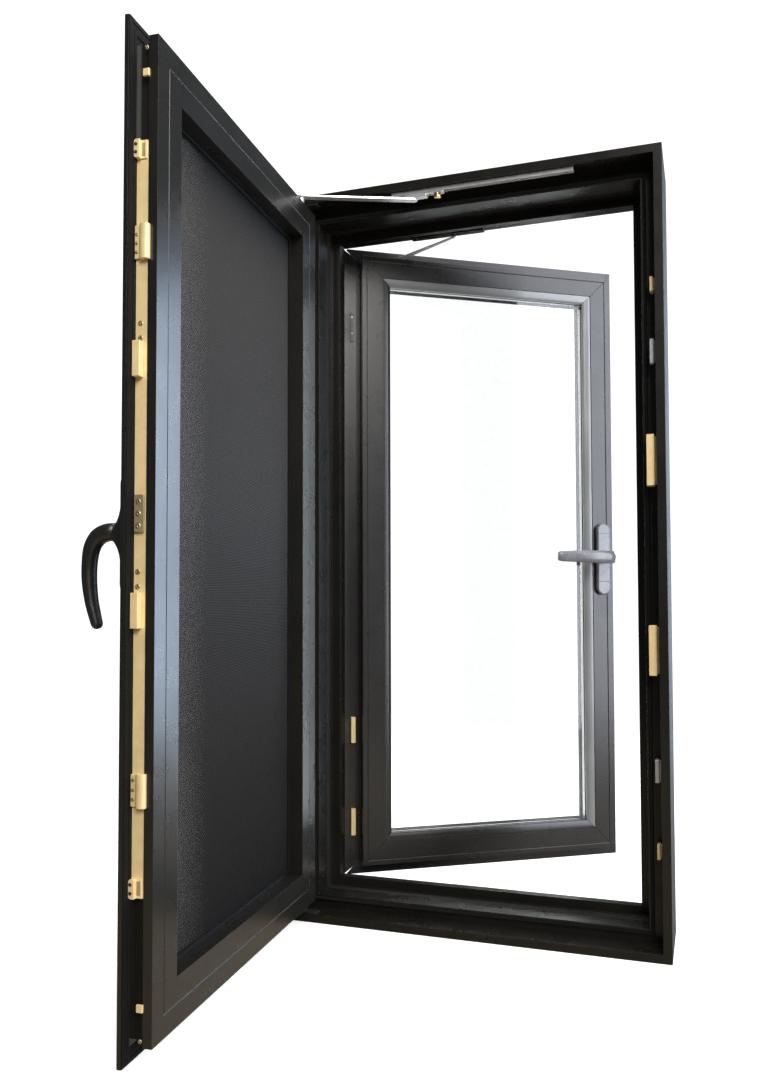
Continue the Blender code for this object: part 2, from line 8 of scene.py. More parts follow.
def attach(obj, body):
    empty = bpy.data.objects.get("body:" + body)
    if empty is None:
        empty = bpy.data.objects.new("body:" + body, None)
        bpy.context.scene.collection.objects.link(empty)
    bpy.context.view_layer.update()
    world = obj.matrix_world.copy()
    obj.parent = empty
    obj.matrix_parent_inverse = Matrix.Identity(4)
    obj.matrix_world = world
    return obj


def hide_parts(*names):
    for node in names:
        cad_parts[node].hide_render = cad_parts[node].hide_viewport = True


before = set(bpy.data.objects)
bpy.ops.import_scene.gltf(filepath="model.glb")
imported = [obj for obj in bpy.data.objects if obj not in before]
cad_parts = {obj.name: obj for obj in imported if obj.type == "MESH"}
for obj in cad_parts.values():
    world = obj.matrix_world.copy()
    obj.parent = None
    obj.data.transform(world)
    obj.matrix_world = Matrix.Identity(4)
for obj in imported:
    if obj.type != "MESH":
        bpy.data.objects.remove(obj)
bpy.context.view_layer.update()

HALF_WIDTH = 350.0
MM = 0.001


class Shader:
    """A material's node tree, with short calls for the nodes used below."""

    def __init__(self, name):
        self.material = bpy.data.materials.new(name)
        self.material.use_nodes = True
        self.tree = self.material.node_tree
        self.surface = self.tree.nodes["Principled BSDF"]
        self.output = self.tree.nodes["Material Output"]
        self.here = self.node("ShaderNodeTexCoord").outputs["Object"]

    def node(self, kind, sets=(), **wires):
        made = self.tree.nodes.new(kind)
        for key, value in dict(sets).items():
            setattr(made, key, value)
        for key, value in wires.items():
            numbered = key[0] == "i" and key[1:].isdigit()
            self.wire(value, made.inputs[int(key[1:]) if numbered else key])
        return made

    def wire(self, value, socket):
        if isinstance(value, bpy.types.NodeSocket):
            self.tree.links.new(value, socket)
        else:
            socket.default_value = value

    def noise(self, scale, detail=3.0, stretch=(1, 1, 1), seed=0.0):
        shift = (seed, seed, seed)
        place = self.node("ShaderNodeMapping", i0=self.here, Location=shift, Scale=stretch)
        made = self.node("ShaderNodeTexNoise", Vector=place.outputs[0], Scale=scale, Detail=detail)
        return made.outputs["Fac"]

    def ramp(self, value, low, high, out_low, out_high):
        made = self.node("ShaderNodeMapRange", Value=value)
        made.inputs["From Min"].default_value = low
        made.inputs["From Max"].default_value = high
        made.inputs["To Min"].default_value = out_low
        made.inputs["To Max"].default_value = out_high
        return made.outputs[0]

    def mix(self, factor, first, second):
        made = self.node("ShaderNodeMix", {"data_type": "RGBA"}, i0=factor)
        self.wire(first, made.inputs[6])
        self.wire(second, made.inputs[7])
        return made.outputs[2]

    def maths(self, what, first, second=0.0):
        return self.node("ShaderNodeMath", {"operation": what}, i0=first, i1=second).outputs[0]

    def bump(self, height, strength, distance):
        made = self.node("ShaderNodeBump", Height=height, Strength=strength, Distance=distance)
        self.wire(made.outputs[0], self.surface.inputs["Normal"])

    def finish(self, **sockets):
        for key, value in sockets.items():
            self.wire(value, self.surface.inputs[key.replace("_", " ")])
        return self.material


def powder_coat(name, dark, pale, rough, dust, coat=0.0, painted_reflection_side=None):
    """Sprayed and baked coat: fine peel, slow mottling, a little dust; on the outer side faces a
    painted warm reflection and more roughness.
    """
    s = Shader(name)
    slow = s.noise(6.0, 2.0)
    fleck = s.noise(1400.0, 1.0, seed=3.0)
    base = s.mix(s.ramp(slow, 0.35, 0.65, 0.0, 1.0), dark, pale)
    dusty = s.ramp(s.noise(38.0, 6.0, seed=7.0), 0.55, 0.85, 0.0, dust)
    base = s.mix(dusty, base, (0.20, 0.185, 0.16, 1))
    base = s.mix(s.ramp(fleck, 0.62, 0.8, 0.0, 0.012), base, (0.10, 0.098, 0.095, 1))
    peel = s.maths("ADD", s.noise(420.0, 1.0), s.maths("MULTIPLY", fleck, 0.1))
    s.bump(peel, 0.04, 0.00002)
    rub = s.ramp(s.noise(26.0, 2.0, seed=11.0), 0.3, 0.7, rough - 0.02, rough + 0.03)
    if painted_reflection_side:
        apart = s.node("ShaderNodeSeparateXYZ", i0=s.here)
        reach = s.maths("ABSOLUTE", apart.outputs["X"])
        # Painted reflection: the outer side faces, at the given reach from the middle, get a paler warm
        # brown that stands for the floor's warm reflection, and are made rougher.
        side_reflection_and_dull = s.ramp(reach, painted_reflection_side - 0.0006, painted_reflection_side - 0.0001, 0.0, 1.0)
        base = s.mix(side_reflection_and_dull, base, (0.026, 0.021, 0.014, 1))
        rub = s.maths("ADD", rub, s.maths("MULTIPLY", side_reflection_and_dull, 0.5))
    return s.finish(Base_Color=base, Roughness=rub, Specular_IOR_Level=0.3,
                    Coat_Weight=coat, Coat_Roughness=0.25)


def settle(mesh, width, steps=2):
    """The mesh with its flat faces joined up and its sharp edges rounded to width metres."""
    if "custom_normal" in mesh.attributes:
        mesh.attributes.remove(mesh.attributes["custom_normal"])
    work = bmesh.new()
    work.from_mesh(mesh)
    bmesh.ops.remove_doubles(work, verts=work.verts, dist=0.00001)
    bmesh.ops.dissolve_limit(work, angle_limit=radians(1.0), verts=work.verts, edges=work.edges)
    bmesh.ops.recalc_face_normals(work, faces=work.faces)
    for face in work.faces:
        face.smooth = True
    work.to_mesh(mesh)
    work.free()
    helper = bpy.data.objects.new("helper", mesh)
    bpy.context.scene.collection.objects.link(helper)
    if width:
        edge = helper.modifiers.new("edge", "BEVEL")
        edge.width = width
        edge.segments = steps
        edge.limit_method = "ANGLE"
        edge.angle_limit = radians(38)
        edge.harden_normals = True
        edge.use_clamp_overlap = True
    seen = helper.evaluated_get(bpy.context.evaluated_depsgraph_get())
    made = bpy.data.meshes.new_from_object(seen)
    bpy.data.objects.remove(helper)
    return made


def declare(name, mesh, material, body, slot, *nodes):
    """The finished piece in the scene, riding on its body and standing for its CAD nodes."""
    mesh.materials.clear()
    mesh.materials.append(material)
    made = bpy.data.objects.new(name, mesh)
    bpy.context.scene.collection.objects.link(made)
    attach(made, body)
    if nodes:
        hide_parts(*nodes)
    return made


def rounded(node, material, body, slot, width=0.0004):
    """A copy of a CAD node with its edges eased, in the material given."""
    mesh = settle(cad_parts[node].data.copy(), width)
    return declare("look_" + node, mesh, material, body, slot, node)


frame_coat = powder_coat("frame_coat", (0.0072, 0.0068, 0.0055, 1), (0.0098, 0.0092, 0.0076, 1),
                         rough=0.28, dust=0.004, painted_reflection_side=HALF_WIDTH * MM)
for side in ("head", "sill", "hinge_jamb", "lock_jamb"):
    for layer in ("inner", "outer"):
        rounded(f"frame_{side}_{layer}", frame_coat, "frame", "frame_aluminium")


# The nylon strip between the two rings of bars, and the rubber seal that the mesh sash
# closes on. Both are extruded and pushed into grooves, and both are dull and nearly black.
def moulded(name, dark, pale, rough, grain, depth):
    """Dull polymer, with a grain finer than a millimetre and slow changes of tone."""
    s = Shader(name)
    fine = s.noise(grain, 4.0)
    slow = s.noise(14.0, 3.0, seed=5.0)
    base = s.mix(s.ramp(slow, 0.3, 0.7, 0.0, 1.0), dark, pale)
    s.bump(fine, 0.4, depth)
    rub = s.ramp(fine, 0.3, 0.7, rough - 0.08, rough + 0.08)
    return s.finish(Base_Color=base, Roughness=rub, Specular_IOR_Level=0.15)


nylon = moulded("nylon", (0.012, 0.012, 0.012, 1), (0.018, 0.0175, 0.017, 1), rough=0.6, grain=900.0,
                depth=0.0001)
rubber = moulded("rubber", (0.0035, 0.0035, 0.0035, 1), (0.0055, 0.0055, 0.005, 1), rough=0.75,
                 grain=420.0, depth=0.0002)
rounded("thermal_break", nylon, "frame", "nylon_strip", width=0.0003)
rounded("mesh_closing_gasket", rubber, "frame", "rubber_seal", width=0.0005)


# The keepers on the lock jamb: two long blocks that the mesh sash's lock blocks run behind,
# and four short ones. Yellow zinc plate, two of the short ones bright zinc, each on a foot
# screwed to the jamb. Dished screw heads show on the long ones.
def plated(name, dark, pale, rough, metallic, brush=(1, 1, 1)):
    """Zinc or steel: cloudy plating, fine draw marks and a few dull spots."""
    s = Shader(name)
    cloud = s.noise(55.0, 5.0)
    line = s.noise(700.0, 3.0, brush)
    base = s.mix(s.ramp(cloud, 0.3, 0.7, 0.0, 1.0), dark, pale)
    spot = s.ramp(s.noise(260.0, 2.0, seed=4.0), 0.68, 0.8, 0.0, 0.35)
    base = s.mix(spot, base, tuple(0.6 * v for v in dark[:3]) + (1,))
    s.bump(line, 0.25, 0.00006)
    rub = s.ramp(line, 0.25, 0.75, rough - 0.07, rough + 0.07)
    return s.finish(Base_Color=base, Roughness=rub, Metallic=metallic)


def prism(outline, low, high, axis):
    """(points, faces) of an outline carried along an axis: 0 x, 1 depth, 2 height, in millimetres."""
    points = []
    for level in (low, high):
        for a, b in outline:
            point = [a, b]
            point.insert(axis, level)
            points.append(tuple(point))
    n = len(outline)
    faces = [tuple(range(n))[::-1], tuple(range(n, 2 * n))]
    faces += [(i, (i + 1) % n, n + (i + 1) % n, n + i) for i in range(n)]
    return points, faces


def block(x, d, z):
    """A box from three spans."""
    return prism([(x[0], d[0]), (x[1], d[0]), (x[1], d[1]), (x[0], d[1])], z[0], z[1], axis=2)


def build(name, solids, place, material, body, slot, width=0.0003, nodes=()):
    """One piece from several solids in millimetres, put in place and its edges eased."""
    work = bmesh.new()
    for points, faces in solids:
        verts = [work.verts.new(p) for p in points]
        for face in faces:
            work.faces.new([verts[i] for i in face])
    work.transform(place)
    mesh = bpy.data.meshes.new(name)
    work.to_mesh(mesh)
    work.free()
    return declare(name, settle(mesh, width), material, body, slot, *nodes)


def screw_head():
    """A dished screw head of radius 1 with a cross recess, facing +Z."""
    steps = 48
    turns = [tau * i / steps for i in range(steps)]
    rings = []
    for radius, height in ((1.0, 0.0), (0.97, 0.16), (0.86, 0.30), (0.66, 0.38)):
        rings.append([(radius * cos(t), radius * sin(t), height) for t in turns])
    for scale, height in ((1.0, 0.38), (0.78, 0.06), (0.1, 0.02)):
        ring = []
        for t in turns:
            radius = scale * (0.17 + 0.40 * cos(2 * t) ** 6)
            ring.append((radius * cos(t), radius * sin(t), height))
        rings.append(ring)
    mesh = bpy.data.meshes.new("screw_head")
    faces = []
    for r in range(len(rings) - 1):
        for i in range(steps):
            j = (i + 1) % steps
            faces.append((r * steps + i, r * steps + j, (r + 1) * steps + j, (r + 1) * steps + i))
    faces.append(tuple(range((len(rings) - 1) * steps, len(rings) * steps)))
    mesh.from_pydata([p for ring in rings for p in ring], [], faces)
    for face in mesh.polygons:
        face.use_smooth = True
    return bpy.data.objects.new("screw_head", mesh)


def screw_tree():
    """Geometry Nodes: a screw head on each point, along its axis, at its radius, turned at random."""
    tree = bpy.data.node_groups.new("screws_on_points", "GeometryNodeTree")
    for kind, name in (("Geometry", "Points"), ("Object", "Head"), ("Int", "Seed"),
                       ("Material", "Finish")):
        tree.interface.new_socket(name, in_out="INPUT", socket_type="NodeSocket" + kind)
    tree.interface.new_socket("Geometry", in_out="OUTPUT", socket_type="NodeSocketGeometry")
    add, link = tree.nodes.new, tree.links.new
    source, end = add("NodeGroupInput"), add("NodeGroupOutput")
    head = add("GeometryNodeObjectInfo")
    put = add("GeometryNodeInstanceOnPoints")
    axis, size = add("GeometryNodeInputNamedAttribute"), add("GeometryNodeInputNamedAttribute")
    axis.data_type = "FLOAT_VECTOR"
    axis.inputs[0].default_value = "axis"
    size.inputs[0].default_value = "size"
    face = add("FunctionNodeAlignRotationToVector")
    face.axis = "Z"
    turn, spin = add("FunctionNodeRandomValue"), add("GeometryNodeRotateInstances")
    turn.inputs["Max"].default_value = tau
    angle = add("ShaderNodeCombineXYZ")
    real, paint = add("GeometryNodeRealizeInstances"), add("GeometryNodeSetMaterial")
    link(source.outputs["Points"], put.inputs["Points"])
    link(source.outputs["Head"], head.inputs["Object"])
    link(head.outputs["Geometry"], put.inputs["Instance"])
    link(axis.outputs["Attribute"], face.inputs["Vector"])
    link(face.outputs["Rotation"], put.inputs["Rotation"])
    link(size.outputs["Attribute"], put.inputs["Scale"])
    link(source.outputs["Seed"], turn.inputs["Seed"])
    link(turn.outputs[1], angle.inputs["Z"])
    link(put.outputs[0], spin.inputs["Instances"])
    link(angle.outputs[0], spin.inputs["Rotation"])
    link(spin.outputs[0], real.inputs[0])
    link(real.outputs[0], paint.inputs["Geometry"])
    link(source.outputs["Finish"], paint.inputs["Material"])
    link(paint.outputs[0], end.inputs[0])
    return tree


def run_tree(name, mesh, tree, settings):
    """The mesh that a Geometry Nodes tree makes of the one given."""
    helper = bpy.data.objects.new(name, mesh)
    bpy.context.scene.collection.objects.link(helper)
    step = helper.modifiers.new("nodes", "NODES")
    step.node_group = tree
    for item in tree.interface.items_tree:
        if item.in_out == "INPUT" and item.name in settings:
            step[item.identifier] = settings[item.name]
    helper.update_tag()
    seen = helper.evaluated_get(bpy.context.evaluated_depsgraph_get())
    made = bpy.data.meshes.new_from_object(seen)
    bpy.data.objects.remove(helper)
    return made


def screws(name, spots, place, material, body, slot, seed=1):
    """Screw heads at ((x, d, z), (axis), radius) in millimetres, baked to one mesh."""
    mesh = bpy.data.meshes.new(name + "_points")
    mesh.from_pydata([place @ Vector(p) for p, _, _ in spots], [], [])
    mesh.attributes.new("axis", "FLOAT_VECTOR", "POINT")
    mesh.attributes.new("size", "FLOAT", "POINT")
    turn = place.to_3x3().normalized()
    for i, (_, way, radius) in enumerate(spots):
        mesh.attributes["axis"].data[i].vector = turn @ Vector(way)
        mesh.attributes["size"].data[i].value = radius * MM
    made = run_tree(name, mesh, screw_nodes, {"Head": head_object, "Seed": seed, "Finish": material})
    for extra in ("axis", "size"):
        if extra in made.attributes:
            made.attributes.remove(made.attributes[extra])
    return declare(name, made, material, body, slot)


head_object = screw_head()
screw_nodes = screw_tree()
zinc = plated("yellow_zinc", (0.82, 0.62, 0.31, 1), (0.92, 0.73, 0.39, 1), rough=0.42, metallic=0.2,
              brush=(1, 1, 0.05))
silver = plated("bright_zinc", (0.46, 0.48, 0.50, 1), (0.60, 0.62, 0.64, 1), rough=0.36, metallic=0.7,
                brush=(1, 1, 0.05))
screw_zinc = plated("screw_zinc", (0.34, 0.26, 0.15, 1), (0.50, 0.40, 0.24, 1), rough=0.30,
                    metallic=0.85)
DEPTH = 170.0
FRAME_PLACE = Matrix.Scale(MM, 4) @ Matrix.Translation((0, -DEPTH / 2, 0))
FOOT_END = 334.1
KEEPER_EASE = 0.0006
LONG_FACE = 317.3
for node, low, high in (("keeper_upper", 807, 896), ("keeper_lower", 480, 566)):
    body = block((LONG_FACE, 330.4), (12, 34), (low, high))
    foot = block((330.2, FOOT_END), (19, 34), (low + 3, high - 3))
    build("look_" + node, [body, foot], FRAME_PLACE, zinc, "frame", "zinc_hardware",
          width=KEEPER_EASE, nodes=(node,))
for name, finish, spans in (("short_keepers", zinc, ((325.6, 1148, 1174), (326.2, 167, 192))),
                            ("silver_keepers", silver, ((324.5, 1021, 1064), (324.6, 297, 336)))):
    small = []
    for left, low, high in spans:
        small.append(block((left, 331.6), (20, 38), (low, high)))
        small.append(block((331.4, FOOT_END), (24, 38), (low + 2, high - 2)))
    build(name, small, FRAME_PLACE, finish, "frame", "zinc_hardware", width=KEEPER_EASE)
keeper_spots = [((LONG_FACE + 0.1, 23.0, z), (-1, 0, 0), 2.6) for z in (816, 887, 489, 557)]
screws("keeper_screws", keeper_spots, FRAME_PLACE, screw_zinc, "frame", "zinc_hardware", seed=2)


# The fixed steel parts: the mesh sash's pivot plates in black oxide, its stay track and the
# hinge pins in brushed stainless, and the glazed sash's stay track and frame leaves in the
# frame's coat. All screwed inside the frame.
black_oxide = plated("black_oxide", (0.035, 0.034, 0.032, 1), (0.055, 0.053, 0.05, 1), rough=0.4,
                     metallic=0.6)
steel = plated("stainless", (0.58, 0.58, 0.58, 1), (0.74, 0.74, 0.74, 1), rough=0.25, metallic=0.6,
               brush=(0.04, 1, 1))
rounded("pivot_plate_top", black_oxide, "frame", "stainless_hardware", width=0.0003)
rounded("pivot_plate_bottom", black_oxide, "frame", "stainless_hardware", width=0.0003)
rounded("stay_track", steel, "frame", "stainless_hardware", width=0.0003)
rounded("glazed_stay_track", frame_coat, "frame", "frame_aluminium", width=0.0003)
for end in ("top", "bottom"):
    rounded(f"glazed_hinge_{end}_frame_leaf", frame_coat, "frame", "frame_aluminium", width=0.0005)
    rounded(f"glazed_hinge_{end}_pin", steel, "frame", "stainless_hardware", width=0.0005)
STAY_D = 15.5
track_spots = [((x, STAY_D, 1377.8), (0, 0, -1), 3.0) for x in (188, 96, 82)]
screws("track_screws", track_spots, FRAME_PLACE, screw_zinc, "frame", "stainless_hardware", seed=3)


# The mesh sash: four mitred bars, the spline that holds the mesh, a ribbed lip seal behind
# the bars and the arms of the corner pivots. The coat has a clear layer that shines at a
# low angle; seal and spline are rubber, and the arms are black oxide.
def hinged(degrees, axis):
    """Where a leaf's closed millimetres lie once it stands open by the angle given."""
    there = Matrix.Translation((axis[0], axis[1], 0))
    return FRAME_PLACE @ there @ Matrix.Rotation(radians(degrees), 4, "Z") @ there.inverted()


MESH_OPEN = -86.4
MESH_HINGE = (-325, 9)
MESH_PLACE = hinged(MESH_OPEN, MESH_HINGE)
sash_coat = powder_coat("sash_coat", (0.0085, 0.008, 0.0065, 1), (0.0115, 0.0108, 0.009, 1),
                        rough=0.28, dust=0.004, coat=0.5)
for bar in ("top_rail", "bottom_rail", "hinge_stile", "lock_stile"):
    rounded("mesh_" + bar, sash_coat, "mesh_sash", "sash_aluminium", width=0.00015)
rounded("mesh_spline", rubber, "mesh_sash", "rubber_seal", width=0.0003)
HEIGHT = 1400.0
SEAL_SEAT = 6.05
seal = []
for outer, inner, lift in ((324.6, 318.4, 7.6), (317.8, 311.6, 6.9), (311.2, 305.9, 7.3)):
    low = HALF_WIDTH - outer
    high = HEIGHT - low
    for side in (-1, 1):
        seal.append(block(sorted((side * outer, side * inner)), (SEAL_SEAT, lift), (low, high)))
    for z in ((low, low + outer - inner), (high - outer + inner, high)):
        seal.append(block((0.1 - inner, inner - 0.1), (SEAL_SEAT, lift), z))
build("lip_seal", seal, MESH_PLACE, rubber, "mesh_sash", "rubber_seal", width=0.0003)
for end in ("top", "bottom"):
    rounded(f"mesh_hinge_arm_{end}", black_oxide, "mesh_sash", "stainless_hardware", width=0.0004)


# The security mesh: round black-coated wires, upright ones in front of level ones, laid out
# by Geometry Nodes. The finish paints a highlight on each crown and paints shade on each wire where it
# would dip under the next.
WIRE_PITCH = 2.54
WIRE_RADIUS = 0.56


def wire_tree():
    """Geometry Nodes: one wire on each point of a line, with its weave coordinates stored."""
    tree = bpy.data.node_groups.new("wire_rows", "GeometryNodeTree")
    for kind, name in (("Geometry", "Points"), ("Float", "Length"), ("Float", "Radius"),
                       ("Float", "Pitch"), ("Float", "Side"), ("Vector", "Turn"),
                       ("Material", "Finish")):
        tree.interface.new_socket(name, in_out="INPUT", socket_type="NodeSocket" + kind)
    tree.interface.new_socket("Geometry", in_out="OUTPUT", socket_type="NodeSocketGeometry")
    add, link = tree.nodes.new, tree.links.new
    source, end = add("NodeGroupInput"), add("NodeGroupOutput")
    wire, put = add("GeometryNodeMeshCylinder"), add("GeometryNodeInstanceOnPoints")
    wire.fill_type = "NGON"
    wire.inputs["Vertices"].default_value = 6
    real, paint = add("GeometryNodeRealizeInstances"), add("GeometryNodeSetMaterial")
    smooth, keep = add("GeometryNodeSetShadeSmooth"), add("GeometryNodeStoreNamedAttribute")
    keep.data_type = "FLOAT_VECTOR"
    keep.inputs["Name"].default_value = "weave"
    where = add("GeometryNodeInputPosition")
    split, join = add("ShaderNodeSeparateXYZ"), add("ShaderNodeCombineXYZ")
    across, along = add("ShaderNodeMath"), add("ShaderNodeMath")
    across.operation = "DIVIDE"
    along.operation = "DIVIDE"
    link(source.outputs["Points"], put.inputs["Points"])
    link(source.outputs["Radius"], wire.inputs["Radius"])
    link(source.outputs["Length"], wire.inputs["Depth"])
    link(wire.outputs["Mesh"], smooth.inputs[0])
    link(smooth.outputs[0], put.inputs["Instance"])
    link(source.outputs["Turn"], put.inputs["Rotation"])
    link(put.outputs[0], real.inputs[0])
    link(real.outputs[0], keep.inputs["Geometry"])
    link(where.outputs[0], split.inputs[0])
    link(split.outputs["X"], across.inputs[0])
    link(split.outputs["Z"], along.inputs[0])
    link(source.outputs["Pitch"], across.inputs[1])
    link(source.outputs["Pitch"], along.inputs[1])
    link(across.outputs[0], join.inputs["X"])
    link(along.outputs[0], join.inputs["Y"])
    link(source.outputs["Side"], join.inputs["Z"])
    link(join.outputs[0], keep.inputs["Value"])
    link(keep.outputs[0], paint.inputs["Geometry"])
    link(source.outputs["Finish"], paint.inputs["Material"])
    link(paint.outputs[0], end.inputs[0])
    return tree


def wire_finish():
    """Black coat over wire, with a painted highlight on each crown and painted shade where the wire
    dips under the next.
    """
    s = Shader("woven_wire")
    weave = s.node("ShaderNodeAttribute", {"attribute_name": "weave"}).outputs["Vector"]
    split = s.node("ShaderNodeSeparateXYZ", i0=weave)
    waves = [s.maths("COSINE", s.maths("MULTIPLY", split.outputs[k], pi)) for k in (0, 1)]
    crimp_and_painted_light = s.maths("MULTIPLY", s.maths("MULTIPLY", waves[0], waves[1]), split.outputs[2])
    # Painted light: a pale grey painted highlight on each crown and near-black painted shade where the
    # wire dips.
    high = s.ramp(crimp_and_painted_light, 0.1, 0.65, 0.0, 1.0)
    grime = s.noise(170.0, 4.0)
    pale = s.mix(s.ramp(grime, 0.3, 0.7, 0.0, 1.0), (0.06, 0.062, 0.066, 1), (0.09, 0.09, 0.095, 1))
    base = s.mix(high, (0.003, 0.003, 0.003, 1), pale)
    s.bump(crimp_and_painted_light, 0.3, 0.0003)
    rub = s.ramp(grime, 0.3, 0.7, 0.45, 0.6)
    return s.finish(Base_Color=base, Roughness=rub, Specular_IOR_Level=0.2)


mesh_wire = wire_finish()
wire_nodes = wire_tree()
FIELD_X = (-236.5, 236.5)
FIELD_Z = (113.5, 1286.5)
width, height = FIELD_X[1] - FIELD_X[0], FIELD_Z[1] - FIELD_Z[0]
middle_x, middle_z = sum(FIELD_X) / 2, sum(FIELD_Z) / 2
for name, count, length, depth, side, turn in (
        ("mesh_warp_wires", int(width / WIRE_PITCH), height, 9.25, 1.0, (0, 0, 0)),
        ("mesh_weft_wires", int(height / WIRE_PITCH), width, 8.75, -1.0, (0, pi / 2, 0))):
    spots = []
    for i in range(count + 1):
        step = (i - count / 2) * WIRE_PITCH
        if side > 0:
            spots.append((middle_x + step, depth, middle_z))
        else:
            spots.append((middle_x, depth, middle_z + step))
    points = bpy.data.meshes.new(name)
    points.from_pydata(spots, [], [])
    settings = {"Length": length, "Radius": WIRE_RADIUS, "Pitch": WIRE_PITCH,
                "Side": side, "Turn": turn, "Finish": mesh_wire}
    wires = run_tree(name, points, wire_nodes, settings)
    wires.transform(MESH_PLACE)
    nodes = ("security_mesh",) if side > 0 else ()
    declare(name, wires, mesh_wire, "mesh_sash", "mesh_wire", *nodes)


# The mesh sash's lock edge: gearbox cover, roller brackets and studs on the sash, and the
# drive rod with its claws and lock blocks. Yellow zinc plate, the gearbox cover and the claws' recesses
# in a darker zinc that paints their shade, held by dished screws.
EDGE = 305.0
rounded("mesh_drive_rod", zinc, "mesh_rod", "zinc_hardware", width=0.0003)
for node in ("mesh_lock_block_upper", "mesh_lock_block_lower"):
    rounded(node, zinc, "mesh_rod", "zinc_hardware", width=0.0008)
for node, low, high in (("mesh_rod_claw_top", 1190, 1215), ("mesh_rod_claw_bottom", 232, 257)):
    middle, half = (low + high) / 2, (high - low) / 2
    turns = [pi * i / 16 for i in range(17)]
    outline = [(9.5 - 5.5 * sin(t), middle + half * cos(t)) for t in turns]
    outline += [(14.6, low), (14.6, high)]
    plate = prism(outline, EDGE - 0.6, EDGE + 6.4, axis=0)
    web = block((EDGE - 0.6, EDGE + 0.9), (14.0, 23.0), (low, high))
    build("look_" + node, [plate, web], MESH_PLACE, zinc, "mesh_rod", "zinc_hardware", width=0.0006,
          nodes=(node,))
# Painted shade: a darker brown zinc for the gearbox cover, which sits in shade, and for thin sheets
# laid where the claws' recesses are in shade.
painted_shade_zinc = plated("painted_shade_zinc", (0.30, 0.24, 0.14, 1), (0.40, 0.32, 0.19, 1), rough=0.40,
                   metallic=0.4, brush=(1, 1, 0.05))
claw_shade_sheets = [block((EDGE + 0.8, EDGE + 1.3), (15.4, 20.6), span) for span in ((1193, 1211), (236, 254))]
build("claw_recesses", claw_shade_sheets, MESH_PLACE, painted_shade_zinc, "mesh_rod", "zinc_hardware", width=0.0002)
rounded("mesh_gearbox_cover", painted_shade_zinc, "mesh_sash", "zinc_hardware", width=0.0005)
for node, low, high in (("mesh_roller_bracket_upper", 1057, 1101),
                        ("mesh_roller_bracket_lower", 348, 389)):
    flat = block((EDGE + 0.3, EDGE + 2.8), (5.0, 20.0), (low, high))
    fin = [(EDGE + 0.4, 15.5), (EDGE + 5.0, 15.5)]
    for i in range(1, 12):
        fin.append((EDGE + 5.0 + 3.2 * sin(pi * i / 12), 22.0 - 6.5 * cos(pi * i / 12)))
    fin += [(EDGE + 5.0, 28.5), (EDGE + 0.4, 28.5)]
    bracket = [flat, prism(fin, low - 1.5, high + 1.0, axis=2)]
    build("look_" + node, bracket, MESH_PLACE, zinc, "mesh_sash", "zinc_hardware", width=0.0005,
          nodes=(node,))
stud_spans = ((1299.5, 1309.5), (90.2, 100))
studs = [block((EDGE - 0.5, EDGE + 3.2), (17.0, 26.0), span) for span in stud_spans]
build("edge_studs", studs, MESH_PLACE, zinc, "mesh_sash", "zinc_hardware", width=0.0006)
claw_spots = [((EDGE + 6.3, 9.4, z), (1, 0, 0), 2.4) for z in (1208, 1197.5, 250.4, 239.5)]
screws("claw_screws", claw_spots, MESH_PLACE, black_oxide, "mesh_rod", "zinc_hardware", seed=4)
edge_spots = [((EDGE + 3.2, 15.4, z), (1, 0, 0), 3.7) for z in (738.8, 723.4, 707.6)]
for z, d in ((972.4, 14.5), (953.2, 14.5), (648.2, 13.0), (629.1, 13.0)):
    edge_spots.append(((EDGE - 1.05, d, z), (1, 0, 0), 3.6))
for z in (1088.8, 1077.4, 1065.4, 381.7, 369.0, 356.9):
    edge_spots.append(((EDGE + 2.7, 10.0, z), (1, 0, 0), 2.4))
for z in (1338.8, 53.5):
    edge_spots.append(((EDGE - 0.1, 21.0, z), (1, 0, 0), 3.0))
screws("edge_screws", edge_spots, MESH_PLACE, screw_zinc, "mesh_sash", "zinc_hardware", seed=5)


# The black lever handle of the mesh sash: a long cast back plate that swells into the
# neck, and a lever that arches away and down. Satin black paint over the casting.
def satin(name, dark, pale, rough, coat):
    """Painted casting: soft unevenness, faint handling marks."""
    s = Shader(name)
    slow = s.noise(24.0, 4.0)
    fine = s.noise(480.0, 3.0, seed=2.0)
    base = s.mix(s.ramp(slow, 0.35, 0.65, 0.0, 1.0), dark, pale)
    s.bump(s.maths("ADD", slow, s.maths("MULTIPLY", fine, 0.25)), 0.3, 0.0003)
    rub = s.ramp(s.noise(60.0, 5.0, seed=9.0), 0.3, 0.7, rough - 0.06, rough + 0.08)
    return s.finish(Base_Color=base, Roughness=rub, Coat_Weight=coat, Coat_Roughness=0.2)


def swept(path, sizes, across, steps=28, power=2.4):
    """(points, faces) of rounded sections along a path; sizes are (across, thick) widths."""
    across = Vector(across).normalized()
    centres = [Vector(p) for p in path]
    points, faces = [], []
    for k, centre in enumerate(centres):
        way = (centres[min(k + 1, len(centres) - 1)] - centres[max(k - 1, 0)]).normalized()
        thick = way.cross(across).normalized()
        for i in range(steps):
            t = tau * i / steps
            c, q = cos(t), sin(t)
            a = abs(c) ** (2 / power) * (1 if c >= 0 else -1)
            b = abs(q) ** (2 / power) * (1 if q >= 0 else -1)
            points.append(tuple(centre + across * a * sizes[k][0] / 2 + thick * b * sizes[k][1] / 2))
    n = len(centres)
    faces.append(tuple(range(steps)))
    for k in range(n - 1):
        for i in range(steps):
            j = (i + 1) % steps
            faces.append((k * steps + i, (k + 1) * steps + i, (k + 1) * steps + j, k * steps + j))
    faces.append(tuple(range((n - 1) * steps, n * steps))[::-1])
    return points, faces


